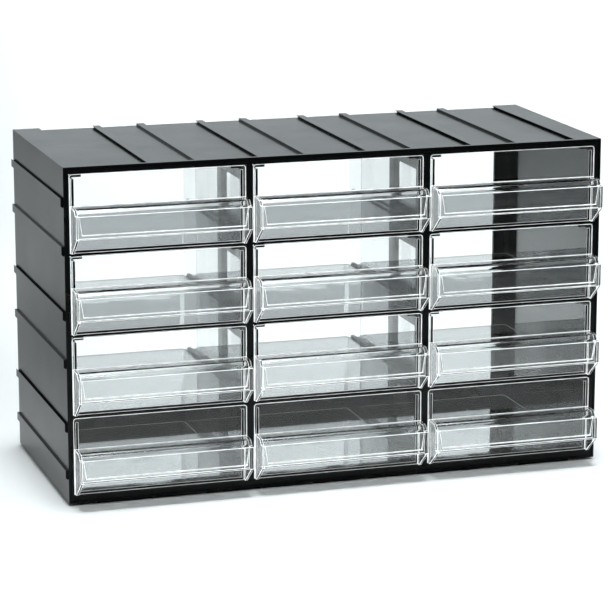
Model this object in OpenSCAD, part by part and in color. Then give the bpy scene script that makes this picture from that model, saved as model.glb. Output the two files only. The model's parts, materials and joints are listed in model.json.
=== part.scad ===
// Stackable parts cabinet: a black casing, open at the rear, holds a grid of thin shelves and
// short uprights, and twelve clear drawers slide in its cells. Rails on the left side and the top
// hook into channels in the right side and the underside of the next cabinet.
// Millimetres. X is the width, Y the depth (the front face looks towards -Y), Z is up.
// The origin is the middle of the casing's footprint, on the surface that it stands on.

/* [Casing] */
// Width of the casing, without its side rails
body_w = 382; // [330:1:460]
// Depth of the casing, front face to rear face
body_d = 160; // [140:1:220]
// Height of the casing, without its top rails
body_h = 230; // [200:1:300]
// Thickness of the left wall
left_wall = 3.6; // [3:0.1:5]
// Thickness of the right wall, which holds the side channels
right_wall = 4.2; // [4:0.1:8]
// Thickness of the top wall
top_wall = 3.1; // [2.6:0.1:6]
// Thickness of the floor, which holds the lower channels
floor_wall = 7.6; // [5.4:0.1:9]
// Width of the frame around the rear opening
rear_frame_w = 13; // [6:0.5:18]
// Thickness of the frame around the rear opening
rear_frame_t = 3; // [2:0.1:5]
// Distance from the rim's outer edges to the seam line around the front
seam_in = 1.4; // [1:0.1:1.8]
// Width of the seam line
seam_w = 0.5; // [0.3:0.1:0.6]
// Depth of the seam line
seam_d = 0.6; // [0.3:0.1:1]

/* [Rails and channels] */
// Width of one rail strip, across both of its ribs
strip_w = 38; // [32:0.5:46]
// How far a rail stands out of the casing
rail_h = 1.5; // [1.2:0.1:2]
// Width of a rib on its outer face
rib_w = 5.4; // [4:0.1:8]
// How far the hooked side of a rib is undercut
hook_in = 1.5; // [0.6:0.1:2]
// How far the sloped side of a rib runs out
slope_out = 1.2; // [0.6:0.1:2.4]
// Distance from the front face to the front end of the side rails
rail_setback = 2.5; // [1.5:0.1:6]
// Depth of the lip along the top's front edge, as high as the rails
lip_d = 3; // [2:0.1:6]
// Clearance between a rail and a channel
rail_fit = 0.3; // [0.1:0.05:0.5]

/* [Grid] */
// Thickness of a shelf
shelf_t = 1.6; // [1.2:0.1:2.6]
// Height of the stiffening lip under a shelf's rear edge
shelf_lip_h = 7; // [4:0.5:9]
// Thickness of that lip
shelf_lip_t = 1.4; // [1:0.1:2.4]
// Distance from the front face to the front edge of a shelf
shelf_recess = 1; // [0.6:0.1:3]
// Thickness of an upright
upright_t = 4.4; // [3.6:0.1:6]
// Distance from the front face to an upright's rear edge
upright_d = 70; // [60:1:100]
// Distance from the front face to an upright's front edge
upright_recess = 0.5; // [0.3:0.1:2]
// Depth of the post in front of an upright's windows
front_post_d = 14; // [8:0.5:20]
// Depth of the post behind an upright's windows
rear_post_d = 9.5; // [6:0.5:20]
// Distance from a window to the floor and to the ceiling of its cell
window_edge = 12.5; // [8:0.5:18]
// Depth of the grooves that hold the shelves and uprights
groove_in = 1; // [0.6:0.1:1.6]
// Clearance of a shelf or upright in its groove or slot
groove_fit = 0.2; // [0.1:0.05:0.4]
// Height of the guide ribs between drawers, behind the uprights
guide_h = 2; // [1.5:0.5:7]
// Thickness of a guide rib
guide_t = 2.4; // [1.6:0.1:3]

/* [Drawer stops] */
// Height of a stop tab under a cell's ceiling
stop_h = 3; // [2:0.1:3.4]
// Width of a stop tab
stop_w = 7.3; // [5:0.1:14]
// Thickness of a stop tab, front to rear
stop_t = 1.6; // [1.2:0.1:3]
// Distance from the front face to the rear of a stop tab
stop_y = 7; // [6.5:0.5:14]
// Distance from the side of a cell to a stop tab
stop_inset = 2.2; // [1:0.1:6]

/* [Drawers] */
// Clearance at each side of a drawer
side_gap = 0.4; // [0.3:0.05:0.8]
// Clearance under a drawer
under_gap = 0.3; // [0.2:0.05:0.5]
// Clearance above a drawer's front
over_gap = 0.4; // [0.3:0.05:0.6]
// Clearance behind a drawer
rear_gap = 0.3; // [0.2:0.05:1]
// Distance from the front face to a drawer's front panel
front_recess = 0.5; // [0.3:0.1:1.5]
// Thickness of a drawer's front panel
panel_t = 1.8; // [1.4:0.1:2.6]
// Radius of the front panel's upper corners
panel_corner = 2; // [1:0.5:6]
// Thickness of a drawer's side and rear walls
drawer_wall = 1.5; // [1.2:0.1:2.2]
// Thickness of a drawer's floor
drawer_floor = 1.5; // [1.2:0.1:2.2]
// How far a drawer's side walls stay below the top of its front panel
side_drop = 3.2; // [3.2:0.1:14]
// How far a drawer's rear wall stays below the top of its front panel
rear_drop = 0.8; // [0.5:0.1:1]
// How much narrower than its front panel a drawer's box is, at each side
box_inset = 1.9; // [0.3:0.1:3]
// Radius of a drawer's rear corners
rear_corner = 4; // [2:0.5:8]

/* [Finger pull] */
// Distance from the front panel's top to the pull
pull_drop = 21.5; // [16:0.5:26]
// How far the grip stands out of the front panel
grip_out = 13.8; // [10:0.1:18]
// Radius of the grip's upper edge
grip_r = 5; // [3:0.5:7]
// Thickness of the grip
grip_t = 1.2; // [1:0.1:2.4]
// Height of the label pocket
label_h = 15.5; // [12:0.1:20]
// How far the label pocket's top is below the pull's top
label_drop = 3.7; // [3:0.1:6]
// Depth of the slot for the label
label_slot = 2.2; // [1:0.1:3]
// Thickness of that slot's floor
slot_floor = 2.4; // [1.4:0.1:3]
// Thickness of the window in front of the label
window_t = 1.5; // [1.2:0.1:2.2]
// How much narrower than the front panel the pull is, at each side
pull_inset = 0.5; // [0.3:0.1:3]
// Thickness of the pull's end cheeks
cheek_t = 1.8; // [1.4:0.1:2.6]
// Width of the label pocket's end blocks at the top
end_block_top = 2; // [1:0.1:4]
// Width of the label pocket's end blocks at the bottom
end_block_foot = 4.4; // [4.2:0.1:8]
// How far the foot of a cheek stands out of the front panel
cheek_foot = 2.5; // [1:0.1:5]

/* [Hidden] */
$fn = 48;

ROWS = 4;
COLUMNS = 3;
SHELF_NAMES = ["shelf_upper", "shelf_middle", "shelf_lower"];
PARTITION_NAMES = ["partition_left", "partition_right"];
TOP_STRIPS = 4;      // whole strips on the top, with half a strip at each end
SIDE_STRIPS = 3;     // whole strips on the left side

BLACK = [0.09, 0.095, 0.1];
CLEAR = [0.86, 0.9, 0.92, 0.35];

over = 1;            // how far a cutter runs past the face that it cuts
sink = 0.5;          // how far a piece of a solid is sunk into the next piece of it

// Casing: faces and the space inside
front_y = -body_d / 2;
rear_y = body_d / 2;
left_x = -body_w / 2;
right_x = body_w / 2;
cavity_left = left_x + left_wall;
cavity_right = right_x - right_wall;
cavity_w = cavity_right - cavity_left;
cavity_top = body_h - top_wall;
cavity_h = cavity_top - floor_wall;
cavity_rear = rear_y - rear_frame_t;
top_pitch = body_w / (TOP_STRIPS + 1);
side_pitch = body_h / SIDE_STRIPS;
rail_front = front_y + rail_setback;
channel_front = rail_front - rail_fit;
lip_rear = front_y + lip_d;
rebate_rear = lip_rear + rail_fit;
rim_foot = rail_h + rail_fit;    // height of the rebate under the front rim
rim_top = body_h + rail_h;

// Cells: one per drawer
cell_w = (cavity_w - (COLUMNS - 1) * upright_t) / COLUMNS;
cell_h = (cavity_h - (ROWS - 1) * shelf_t) / ROWS;
column_pitch = cell_w + upright_t;
row_pitch = cell_h + shelf_t;
function cell_x(column) = cavity_left + column * column_pitch;
function cell_z(row) = cavity_top - cell_h - row * row_pitch;
function shelf_z(level) = cell_z(level) - shelf_t;
function upright_x(i) = cell_x(i + 1) - upright_t / 2;   // middle of upright i

// Shelves and uprights
shelf_front = front_y + shelf_recess;
shelf_rear = cavity_rear - groove_fit;
upright_front = front_y + upright_recess;
upright_rear = front_y + upright_d;
window_front = upright_front + front_post_d;
window_rear = upright_rear - rear_post_d;
lap_y = (upright_front + upright_rear) / 2;
guide_front = upright_rear + 2 * groove_fit;

// Drawers
drawer_w = cell_w - 2 * side_gap;
drawer_h = cell_h - under_gap - over_gap;
drawer_front = front_y + front_recess;
drawer_d = shelf_rear - shelf_lip_t - rear_gap - drawer_front;
box_w = drawer_w - 2 * box_inset;
side_h = drawer_h - side_drop;
rear_h = drawer_h - rear_drop;
pull_w = drawer_w - 2 * pull_inset;
pull_top = drawer_h - pull_drop;
label_top = pull_top - label_drop;
label_foot = label_top - label_h;
window_out = grip_out + label_slot + window_t;

// Strip outline: u runs across the strip from its hooked side, v stands out of the wall
module rib_hooked() {
    polygon([[-strip_w / 2 + hook_in, -sink], [-strip_w / 2 + hook_in, 0],
             [-strip_w / 2, rail_h], [-strip_w / 2 + rib_w, rail_h],
             [-strip_w / 2 + rib_w + slope_out, 0], [-strip_w / 2 + rib_w + slope_out, -sink]]);
}

module rib_sloped() {
    polygon([[strip_w / 2 - rib_w, -sink], [strip_w / 2 - rib_w, rail_h], [strip_w / 2, rail_h],
             [strip_w / 2 + slope_out, 0], [strip_w / 2 + slope_out, -sink]]);
}

module strip_male() {
    rib_hooked();
    rib_sloped();
}

module strip_half_hooked() {
    polygon([[-strip_w / 2 + hook_in, -sink], [-strip_w / 2 + hook_in, 0],
             [-strip_w / 2, rail_h], [0, rail_h], [0, -sink]]);
}

module strip_half_sloped() {
    polygon([[0, -sink], [0, rail_h], [strip_w / 2, rail_h],
             [strip_w / 2 + slope_out, 0], [strip_w / 2 + slope_out, -sink]]);
}

module strip_female() {
    polygon([[-strip_w / 2 + hook_in - rail_fit, -over], [-strip_w / 2 + hook_in - rail_fit, 0],
             [-strip_w / 2 - rail_fit, rail_h + rail_fit],
             [strip_w / 2 + rail_fit, rail_h + rail_fit],
             [strip_w / 2 + slope_out + rail_fit, 0],
             [strip_w / 2 + slope_out + rail_fit, -over]]);
}

// Runs a strip outline along the depth: u becomes +X and v becomes +Z
module run_up(from, to) {
    translate([0, to, 0])
        rotate([90, 0, 0])
            linear_extrude(to - from) children();
}

// The same for a side wall: u becomes -Z and v becomes -X
module run_side(from, to) {
    rotate([0, -90, 0])
        run_up(from, to) mirror([1, 0]) children();
}

// Casing
module casing_rails() {
    for (i = [1:TOP_STRIPS])
        translate([left_x + i * top_pitch, 0, body_h])
            run_up(lip_rear - sink, rear_y) strip_male();
    translate([left_x, 0, body_h])
        run_up(lip_rear - sink, rear_y) strip_half_sloped();
    translate([right_x, 0, body_h])
        run_up(lip_rear - sink, rear_y) strip_half_hooked();
    translate([left_x, front_y, body_h - sink])
        cube([body_w, lip_d, rail_h + sink]);
    for (i = [0:SIDE_STRIPS - 1])
        translate([left_x, 0, (i + 0.5) * side_pitch])
            run_side(rail_front, rear_y) strip_male();
}

// Channels for the rails of the next cabinet, and the rebate for its lip
module casing_channels() {
    for (i = [0:TOP_STRIPS + 1])
        translate([left_x + i * top_pitch, 0, 0])
            run_up(lip_rear, rear_y + over) strip_female();
    translate([left_x - over, front_y - over, -over])
        cube([body_w + 2 * over, rebate_rear - front_y + over, rim_foot + over]);
    for (i = [0:SIDE_STRIPS - 1])
        translate([right_x, 0, (i + 0.5) * side_pitch])
            run_side(channel_front, rear_y + over) strip_female();
}

module casing_openings() {
    translate([cavity_left, front_y - over, floor_wall])
        cube([cavity_w, cavity_rear - front_y + over, cavity_h]);
    translate([cavity_left + rear_frame_w, cavity_rear - over, floor_wall + rear_frame_w])
        cube([cavity_w - 2 * rear_frame_w, rear_frame_t + 2 * over, cavity_h - 2 * rear_frame_w]);
}

module casing_grooves() {
    for (level = [0:ROWS - 2])
        translate([cavity_left - groove_in, front_y - over, shelf_z(level)])
            cube([cavity_w + 2 * groove_in, cavity_rear - front_y + over, shelf_t + groove_fit]);
    for (i = [0:COLUMNS - 2])
        translate([upright_x(i) - upright_t / 2 - groove_fit / 2, front_y - over,
                   floor_wall - groove_in])
            cube([upright_t + groove_fit, upright_rear + groove_fit - front_y + over,
                  cavity_h + 2 * groove_in]);
}

// Seam line around the front rim
module casing_seam() {
    translate([0, front_y + seam_d, 0])
        rotate([90, 0, 0])
            linear_extrude(seam_d + over)
                difference() {
                    translate([left_x + seam_in, rim_foot + seam_in])
                        square([body_w - 2 * seam_in, rim_top - rim_foot - 2 * seam_in]);
                    translate([left_x + seam_in + seam_w, rim_foot + seam_in + seam_w])
                        square([body_w - 2 * (seam_in + seam_w),
                                rim_top - rim_foot - 2 * (seam_in + seam_w)]);
                }
}

// Two stop tabs for each drawer, under the ceiling at height z
module stop_tabs(z) {
    for (column = [0:COLUMNS - 1], x = [stop_inset, cell_w - stop_inset - stop_w])
        translate([cell_x(column) + x, front_y + stop_y - stop_t, z - stop_h])
            cube([stop_w, stop_t, stop_h + sink]);
}

// Guide ribs between the columns, on the floor at height z
module guide_ribs(z, rear) {
    for (i = [0:COLUMNS - 2])
        translate([upright_x(i) - guide_t / 2, guide_front, z - sink])
            cube([guide_t, rear - guide_front, guide_h + sink]);
}

module casing() {
    color(BLACK) {
        difference() {
            union() {
                translate([left_x, front_y, 0])
                    cube([body_w, body_d, body_h]);
                casing_rails();
            }
            casing_openings();
            casing_grooves();
            casing_channels();
            casing_seam();
        }
        stop_tabs(cavity_top);
        guide_ribs(floor_wall, cavity_rear + sink);
    }
}

// Uprights: a plate with a window beside each cell, slotted from the rear for the shelves
module partition(i) {
    left = upright_x(i) - upright_t / 2;
    color(BLACK)
        difference() {
            translate([left, upright_front, floor_wall - groove_in])
                cube([upright_t, upright_rear - upright_front,
                      cavity_h + 2 * groove_in - groove_fit]);
            for (row = [0:ROWS - 1])
                translate([left - over, window_front, cell_z(row) + window_edge])
                    cube([upright_t + 2 * over, window_rear - window_front,
                          cell_h - 2 * window_edge]);
            for (level = [0:ROWS - 2])
                translate([left - over, lap_y - groove_fit / 2, shelf_z(level)])
                    cube([upright_t + 2 * over, upright_rear - lap_y + over,
                          shelf_t + groove_fit]);
        }
}

// Shelves: a full-width plate, slotted from the front for the uprights
module shelf(level) {
    z = shelf_z(level);
    color(BLACK) {
        difference() {
            translate([cavity_left - groove_in + groove_fit, shelf_front, z])
                cube([cavity_w + 2 * (groove_in - groove_fit), shelf_rear - shelf_front, shelf_t]);
            for (i = [0:COLUMNS - 2])
                translate([upright_x(i) - upright_t / 2 - groove_fit / 2, shelf_front - over,
                           z - over])
                    cube([upright_t + groove_fit, lap_y + groove_fit / 2 - shelf_front + over,
                          shelf_t + 2 * over]);
        }
        translate([cavity_left + groove_fit, shelf_rear - shelf_lip_t, z - shelf_lip_h])
            cube([cavity_w - 2 * groove_fit, shelf_lip_t, shelf_lip_h + sink]);
        stop_tabs(z);
        guide_ribs(z + shelf_t, shelf_rear);
    }
}

// Drawer, in its own frame: x from its middle, y from the front panel's face towards the rear,
// z from its underside

// Runs an outline across the drawer: its first axis becomes +Y and its second becomes +Z
module run_across(w) {
    translate([-w / 2, 0, 0])
        rotate([90, 0, 90])
            linear_extrude(w) children();
}

module front_panel() {
    translate([0, panel_t, 0])
        rotate([90, 0, 0])
            linear_extrude(panel_t) {
                translate([-drawer_w / 2, 0])
                    square([drawer_w, drawer_h - panel_corner]);
                translate([-drawer_w / 2 + panel_corner, 0])
                    square([drawer_w - 2 * panel_corner, drawer_h]);
                for (side = [-1, 1])
                    translate([side * (drawer_w / 2 - panel_corner), drawer_h - panel_corner])
                        circle(panel_corner);
            }
}

// Plan outline of the box: square at the front, round at the rear corners
module box_plan(w, d, r) {
    translate([-w / 2, 0])
        square([w, d - r]);
    translate([-w / 2 + r, 0])
        square([w - 2 * r, d]);
    for (side = [-1, 1])
        translate([side * (w / 2 - r), d - r])
            circle(r);
}

module drawer_box() {
    difference() {
        linear_extrude(rear_h) box_plan(box_w, drawer_d, rear_corner);
        translate([0, 0, drawer_floor])
            linear_extrude(rear_h)
                box_plan(box_w - 2 * drawer_wall, drawer_d - drawer_wall,
                         rear_corner - drawer_wall);
        translate([-box_w / 2 - over, -over, side_h])
            cube([box_w + 2 * over, drawer_d - rear_corner + over, rear_h]);
    }
}

// Side outline of the grip's outer face, from the front panel outwards
module grip_side(out, top, r, back) {
    translate([-out + r, label_foot])
        square([out - r + back, top - label_foot]);
    translate([-out, label_foot])
        square([r, top - r - label_foot]);
    translate([-out + r, top - r])
        circle(r);
}

module pull_side_hollow() {
    difference() {
        grip_side(grip_out, pull_top, grip_r, sink);
        translate([0, -over])
            square([over, pull_top - grip_t + over]);
        translate([0, -over])
            grip_side(grip_out - grip_t, pull_top - grip_t + over, grip_r - grip_t, 0);
    }
    translate([-window_out, label_foot])
        square([window_t, label_h]);
    translate([-window_out, label_foot])
        square([window_out - grip_out + grip_t / 2, slot_floor]);
}

module cheek_side() {
    grip_side(grip_out, pull_top, grip_r, sink);
    translate([-window_out, label_foot])
        square([window_out - grip_out + grip_t / 2, label_h]);
    polygon([[sink, label_foot + sink], [-window_out, label_foot], [-cheek_foot, 0], [sink, 0]]);
}

// End block of the label pocket, wider at its foot, so that a label slides in easily
module end_block() {
    translate([0, -grip_out + grip_t / 2, 0])
        rotate([90, 0, 0])
            linear_extrude(window_out - grip_out + grip_t / 2)
                polygon([[0, label_foot], [end_block_foot, label_foot],
                         [end_block_top, label_top], [0, label_top]]);
}

module pull() {
    run_across(pull_w) pull_side_hollow();
    for (side = [-1, 1])
        translate([side * (pull_w - cheek_t) / 2, 0, 0])
            run_across(cheek_t) cheek_side();
    for (side = [0, 1])
        mirror([side, 0, 0])
            translate([-pull_w / 2, 0, 0])
                end_block();
}

module drawer(row, column) {
    color(CLEAR)
        translate([cell_x(column) + cell_w / 2, drawer_front, cell_z(row) + under_gap]) {
            front_panel();
            drawer_box();
            pull();
        }
}

casing();
for (i = [0:COLUMNS - 2])
    partition(i);
for (level = [0:ROWS - 2])
    shelf(level);
for (row = [0:ROWS - 1], column = [0:COLUMNS - 1])
    drawer(row, column);
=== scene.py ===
"""Looks of the parts bin cabinet: satin black casing and grid, clear drawers, white studio."""

import json
import math

import bpy
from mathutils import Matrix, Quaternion, Vector

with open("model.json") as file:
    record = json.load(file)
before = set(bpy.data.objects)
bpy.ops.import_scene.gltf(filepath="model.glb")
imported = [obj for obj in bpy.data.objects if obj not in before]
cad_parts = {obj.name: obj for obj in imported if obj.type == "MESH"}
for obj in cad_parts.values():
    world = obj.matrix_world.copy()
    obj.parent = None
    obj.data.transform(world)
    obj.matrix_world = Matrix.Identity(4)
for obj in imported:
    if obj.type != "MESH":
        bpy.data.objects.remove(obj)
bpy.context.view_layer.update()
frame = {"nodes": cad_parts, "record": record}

CLEAR_SLOT = "drawer_clear"
MM = 0.001

# Camera: place in metres, direction and roll in degrees, lens and sensor width in millimetres
CAMERA_PLACE = (-0.582, -1.837, 0.554)
CAMERA_AZIMUTH = 17.66
CAMERA_ELEVATION = 13.08
CAMERA_ROLL = -0.04
CAMERA_LENS = 162.6
CAMERA_SENSOR = 36

# Black plastic: its darkest and lightest colour, its roughness from gloss to satin, the scales of
# its clouds and grain in noise cells per metre, and the grain's strength and height in metres
BLACK_DARKEST = (0.0022, 0.0026, 0.0028, 1)
BLACK_LIGHTEST = (0.0036, 0.0042, 0.0045, 1)
BLACK_IOR = 1.215
BLACK_ROUGHNESS = (0.15, 0.26)
BLACK_CLOUD_SCALE = 26
BLACK_GRAIN_SCALE = 2600
BLACK_GRAIN_STRENGTH = 0.12
BLACK_GRAIN_HEIGHT = 0.05 * MM

# Clear plastic: the waves of the moulding, and its fine specks, whose roughness grows between two
# levels of their noise
CLEAR_COLOUR = (0.985, 0.992, 0.992, 1)
CLEAR_IOR = 1.33
CLEAR_WAVE_SCALE = 38
CLEAR_WAVE_STRENGTH = 0.25
CLEAR_WAVE_HEIGHT = 0.25 * MM
CLEAR_SPECK_SCALE = 900
CLEAR_SPECK_LEVELS = (0.45, 0.8)
CLEAR_ROUGHNESS = (0.0, 0.035)

# Edge line, painted highlight and glow: its share of the edge in faint and in full patches, between
# two levels of the patch noise, and how that falls off behind the drawers' front, between two
# places along Y in metres
EDGE_HIGHLIGHT_COLOUR = (0.95, 0.96, 0.96, 1)
EDGE_GLOW = (0.97, 1.0, 1.0, 1)
EDGE_GLOW_STRENGTH = 1.1
EDGE_PATCH_SHARES = (0.55, 0.95)
EDGE_PATCH_SCALE = 140
EDGE_PATCH_LEVELS = (0.3, 0.7)
EDGE_FRONT_SHARE = 1.0
EDGE_REAR_SHARE = 0.12
EDGE_FALL_OFF = (-78.5 * MM, -76.5 * MM)
EDGE_SHINE_ROUGHNESS = 0.25
EDGE_CLEAR_ROUGHNESS = 0.05

# Moulded radii along the edges, and how the CAD mesh is joined up before them: metres and degrees
BLACK_RADIUS = 0.3 * MM
CLEAR_RADIUS = 0.5 * MM
RADIUS_SEGMENTS = 2
SHARP_ANGLE = 35
WELD_DISTANCE = 0.001 * MM
FLAT_ANGLE = 0.5

FLOOR_HALF = 6.0
FLOOR_COLOUR = (0.9, 0.9, 0.9, 1)
FLOOR_ROUGHNESS = 0.8

# Surroundings: where the wall behind begins and is full along Y, where it fades into the ceiling
# along Z, what is left of it there, and the level of the dim room
WALL_COLOUR = (0.9, 0.975, 1, 1)
WALL_SIDES = (-0.1, 0.45)
WALL_TOP = (0.35, 0.75)
CEILING_SHARE = 0.15
ROOM_LEVEL = 0.05

# Light panels: daylight, slightly cool. Each row has the values that add_panel takes, in its order
PANEL_COLOUR = (0.93, 0.99, 1.0)
PANELS = [
    ("table_light", (1.408, 1.68, 1.3), (1.408, 1.68, 0), (2.76, 4.66), 45, 24, -9.15),
    ("left_light", (-0.53, 1.05, 1.3), (-0.53, 1.05, 0), (0.4, 1.1), 1.1, 24, 17.66),
    ("front_light", (-0.25, -0.4, 1.3), (-0.25, -0.4, 0), (0.8, 0.7), 0.8, 24, 0),
    ("back_light", (0.18, 0.6, 0.225), (0.18, 0, 0.225), (0.5, 0.07), 0.085, 180, 0),
    ("key_light", (-0.5, -1.5, 1.5), (0, -0.08, 0.13), (0.8, 0.5), 1, 45, 0),
]


def add_camera():
    azimuth, elevation = math.radians(CAMERA_AZIMUTH), math.radians(CAMERA_ELEVATION)
    sight = Vector((
        math.sin(azimuth) * math.cos(elevation),
        math.cos(azimuth) * math.cos(elevation),
        -math.sin(elevation),
    ))
    data = bpy.data.cameras.new("camera")
    data.lens = CAMERA_LENS
    data.sensor_width = CAMERA_SENSOR
    camera = bpy.data.objects.new("camera", data)
    camera.location = CAMERA_PLACE
    camera.rotation_mode = "QUATERNION"
    roll = Quaternion(sight, math.radians(CAMERA_ROLL))
    camera.rotation_quaternion = roll @ sight.to_track_quat("-Z", "Y")
    bpy.context.scene.collection.objects.link(camera)
    bpy.context.scene.camera = camera


class Nodes:
    """Builds a node tree: add makes a node, links or sets its inputs by name, and returns it."""

    def __init__(self, tree):
        self.tree = tree
        tree.nodes.clear()

    def add(self, kind, settings=None, **inputs):
        node = self.tree.nodes.new(kind)
        for name, value in (settings or {}).items():
            setattr(node, name, value)
        for name, value in inputs.items():
            self.put(value, node, name.replace("_", " "))
        return node

    def put(self, value, node, key):
        """Links value to the input, or sets it where value isn't another node's output."""
        if isinstance(value, bpy.types.NodeSocket):
            self.tree.links.new(value, node.inputs[key])
        else:
            node.inputs[key].default_value = value


def new_material(name):
    material = bpy.data.materials.new(name)
    material.use_nodes = True
    return material, Nodes(material.node_tree)


def noise(nodes, place, scale, detail=2.0):
    return nodes.add("ShaderNodeTexNoise", Vector=place, Scale=scale, Detail=detail,
                     Roughness=0.5).outputs["Fac"]


def spread(nodes, value, low, high, start=0.0, end=1.0):
    """Maps value from start..end to low..high."""
    return nodes.add("ShaderNodeMapRange", Value=value, From_Min=start, From_Max=end, To_Min=low,
                     To_Max=high).outputs["Result"]


def product(nodes, first, second):
    node = nodes.add("ShaderNodeMath", {"operation": "MULTIPLY"})
    nodes.put(first, node, 0)
    nodes.put(second, node, 1)
    return node.outputs["Value"]


def clear_shader(nodes, roughness):
    return nodes.add("ShaderNodeBsdfPrincipled", Roughness=roughness, Base_Color=CLEAR_COLOUR,
                     IOR=CLEAR_IOR, Transmission_Weight=1.0)


def finish_surface(nodes, output):
    nodes.add("ShaderNodeOutputMaterial", Surface=output)


def casing_material():
    """Injection-moulded black polystyrene with a fine satin grain."""
    material, nodes = new_material("casing_plastic")
    place = nodes.add("ShaderNodeTexCoord").outputs["Object"]
    grain = noise(nodes, place, BLACK_GRAIN_SCALE, detail=1.0)
    clouds = noise(nodes, place, BLACK_CLOUD_SCALE, detail=3.0)
    ramp = nodes.add("ShaderNodeValToRGB", Fac=clouds)
    ramp.color_ramp.elements[0].color = BLACK_DARKEST
    ramp.color_ramp.elements[1].color = BLACK_LIGHTEST
    bump = nodes.add("ShaderNodeBump", Height=grain, Strength=BLACK_GRAIN_STRENGTH,
                     Distance=BLACK_GRAIN_HEIGHT)
    roughness = spread(nodes, clouds, *BLACK_ROUGHNESS)
    shader = nodes.add("ShaderNodeBsdfPrincipled", Roughness=roughness, IOR=BLACK_IOR,
                       Base_Color=ramp.outputs["Color"], Normal=bump.outputs["Normal"])
    finish_surface(nodes, shader.outputs["BSDF"])
    return material


def clear_material():
    """Water-clear polystyrene with the faint waves of a moulding."""
    material, nodes = new_material("drawer_clear")
    place = nodes.add("ShaderNodeTexCoord").outputs["Object"]
    waves = noise(nodes, place, CLEAR_WAVE_SCALE, detail=1.0)
    specks = noise(nodes, place, CLEAR_SPECK_SCALE)
    bump = nodes.add("ShaderNodeBump", Height=waves, Strength=CLEAR_WAVE_STRENGTH,
                     Distance=CLEAR_WAVE_HEIGHT)
    roughness = spread(nodes, specks, *CLEAR_ROUGHNESS, *CLEAR_SPECK_LEVELS)
    shader = clear_shader(nodes, roughness)
    nodes.put(bump.outputs["Normal"], shader, "Normal")
    finish_surface(nodes, shader.outputs["BSDF"])
    return material


def edge_highlight_material():
    """Painted highlight and glow for light leaving clear plastic's edges: bright at the front."""
    material, nodes = new_material("drawer_clear_painted_highlight")
    place = nodes.add("ShaderNodeTexCoord").outputs["Object"]
    clouds = noise(nodes, place, EDGE_PATCH_SCALE, detail=3.0)
    # Patches where the painted edge highlight is fainter, from random noise
    patches = spread(nodes, clouds, *EDGE_PATCH_SHARES, *EDGE_PATCH_LEVELS)
    depth = nodes.add("ShaderNodeSeparateXYZ", Vector=place).outputs["Y"]
    # The painted highlight fades behind the drawers' front, by place along Y
    front = spread(nodes, depth, EDGE_FRONT_SHARE, EDGE_REAR_SHARE, *EDGE_FALL_OFF)
    # Painted highlight: a white colour with an emission glow, on an edge that is no lamp
    shine = nodes.add("ShaderNodeBsdfPrincipled", Roughness=EDGE_SHINE_ROUGHNESS,
                      Base_Color=EDGE_HIGHLIGHT_COLOUR, Emission_Color=EDGE_GLOW,
                      Emission_Strength=EDGE_GLOW_STRENGTH)
    glass = clear_shader(nodes, EDGE_CLEAR_ROUGHNESS)
    mix = nodes.add("ShaderNodeMixShader", Fac=product(nodes, patches, front))
    nodes.put(glass.outputs["BSDF"], mix, 1)
    nodes.put(shine.outputs["BSDF"], mix, 2)
    finish_surface(nodes, mix.outputs["Shader"])
    return material


def dress(node, materials, radius):
    """Gives a CAD node its materials, and a fine moulded radius in the last one along its edges.

    Weld and flat join the mesh's triangles into whole faces first, so that the bevel finds only
    the solid's own edges.
    """
    node.data.materials.clear()
    for material in materials:
        node.data.materials.append(material)
    weld = node.modifiers.new("weld", "WELD")
    weld.merge_threshold = WELD_DISTANCE
    flat = node.modifiers.new("flat", "DECIMATE")
    flat.decimate_type = "DISSOLVE"
    flat.angle_limit = math.radians(FLAT_ANGLE)
    bevel = node.modifiers.new("edges", "BEVEL")
    bevel.width = radius
    bevel.segments = RADIUS_SEGMENTS
    bevel.limit_method = "ANGLE"
    bevel.angle_limit = math.radians(SHARP_ANGLE)
    bevel.harden_normals = True
    # The radius faces take the last material: on the clear parts, the painted edge highlight
    bevel.material = len(materials) - 1


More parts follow.
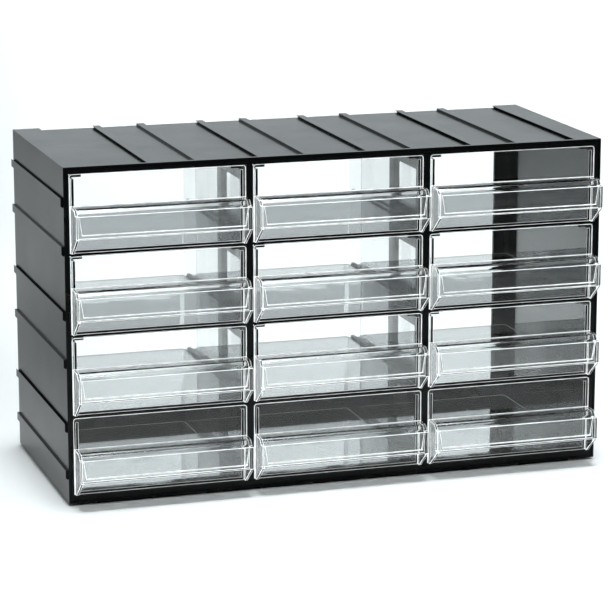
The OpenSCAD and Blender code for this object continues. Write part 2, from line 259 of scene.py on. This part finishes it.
def add_floor():
    half = FLOOR_HALF
    mesh = bpy.data.meshes.new("floor")
    mesh.from_pydata([(-half, -half, 0), (half, -half, 0), (half, half, 0), (-half, half, 0)], [],
                     [(0, 1, 2, 3)])
    floor = bpy.data.objects.new("floor", mesh)
    material, nodes = new_material("floor")
    shader = nodes.add("ShaderNodeBsdfPrincipled", Roughness=FLOOR_ROUGHNESS,
                       Base_Color=FLOOR_COLOUR)
    finish_surface(nodes, shader.outputs["BSDF"])
    mesh.materials.append(material)
    bpy.context.scene.collection.objects.link(floor)


def add_world():
    """A low bright wall behind the cabinet, and a dim room in front of it and above."""
    world = bpy.data.worlds.new("studio")
    world.use_nodes = True
    nodes = Nodes(world.node_tree)
    direction = nodes.add("ShaderNodeTexCoord").outputs["Generated"]
    parts = nodes.add("ShaderNodeSeparateXYZ", Vector=direction)
    behind = spread(nodes, parts.outputs["Y"], 0.0, 1.0, *WALL_SIDES)
    low = spread(nodes, parts.outputs["Z"], 1.0, CEILING_SHARE, *WALL_TOP)
    level = spread(nodes, product(nodes, behind, low), ROOM_LEVEL, 1.0)
    sky = nodes.add("ShaderNodeBackground", Strength=level, Color=WALL_COLOUR)
    nodes.add("ShaderNodeOutputWorld", Surface=sky.outputs["Background"])
    bpy.context.scene.world = world


def add_panel(name, place, aim, size, power, fan, turn):
    """Adds a soft light. Place, aim and size in metres, power in watts, fan and turn in degrees."""
    data = bpy.data.lights.new(name, "AREA")
    data.shape = "RECTANGLE"
    data.size, data.size_y = size
    data.energy = power
    data.color = PANEL_COLOUR
    data.spread = math.radians(fan)
    panel = bpy.data.objects.new(name, data)
    panel.location = place
    panel.visible_camera = False
    sight = Vector(aim) - Vector(place)
    panel.rotation_mode = "QUATERNION"
    level = Quaternion((0, 0, 1), math.radians(turn))
    panel.rotation_quaternion = sight.to_track_quat("-Z", "Y") @ level
    bpy.context.scene.collection.objects.link(panel)


add_camera()
add_world()
add_floor()
for panel_values in PANELS:
    add_panel(*panel_values)
black = casing_material()
clear = clear_material()
painted_edges = edge_highlight_material()
slots = {row["node"]: row["material_slot"] for row in frame["record"]["subparts"]}
for name, node in frame["nodes"].items():
    if slots[name] == CLEAR_SLOT:
        # Clear parts: plain clear plastic, and the painted edge highlight on their radii
        dress(node, [clear, painted_edges], CLEAR_RADIUS)
    else:
        dress(node, [black], BLACK_RADIUS)
bpy.context.scene.view_settings.view_transform = "Standard"
